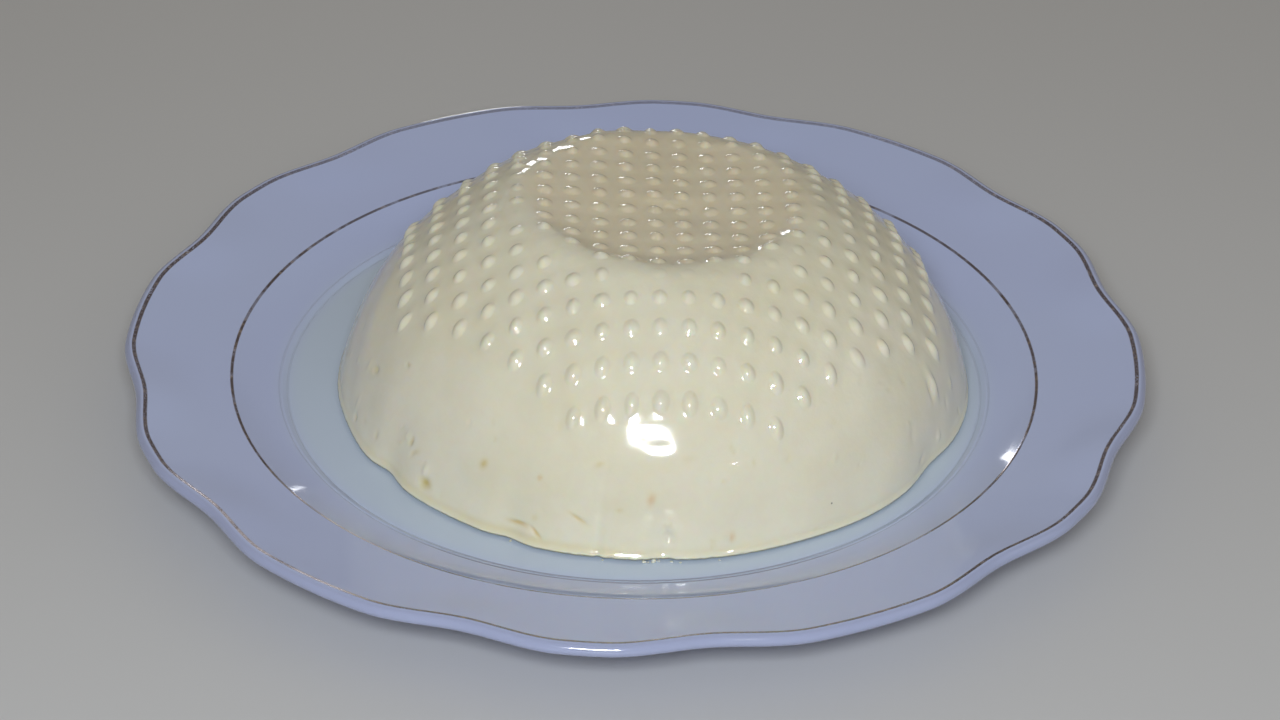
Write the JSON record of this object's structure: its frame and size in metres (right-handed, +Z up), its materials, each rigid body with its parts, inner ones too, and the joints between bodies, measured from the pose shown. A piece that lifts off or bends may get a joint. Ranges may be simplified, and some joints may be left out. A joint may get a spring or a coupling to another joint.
{
  "type": "fresh pressed cheese dome on a scalloped plate",
  "caption": "Dome of smooth fresh cheese with the rounded nubs of its draining bowl, turned out onto a white porcelain plate with a scalloped rim and thin gilt lines.",
  "frame": {"origin": "centre of the plate at the level of the surface it stands on", "axes": "+Z up, the plate's and the dome's turning axis; -Y is the side that the picture shows"},
  "size_m": [0.2714, 0.2706, 0.065],
  "materials": {
    "fresh_cheese": "moist, smooth, pale cream",
    "porcelain": "clear glaze with thin gilt lines"
  },
  "bodies": {
    "root": {"cheese": "fresh_cheese", "plate": "porcelain"}
  },
  "joints": []
}
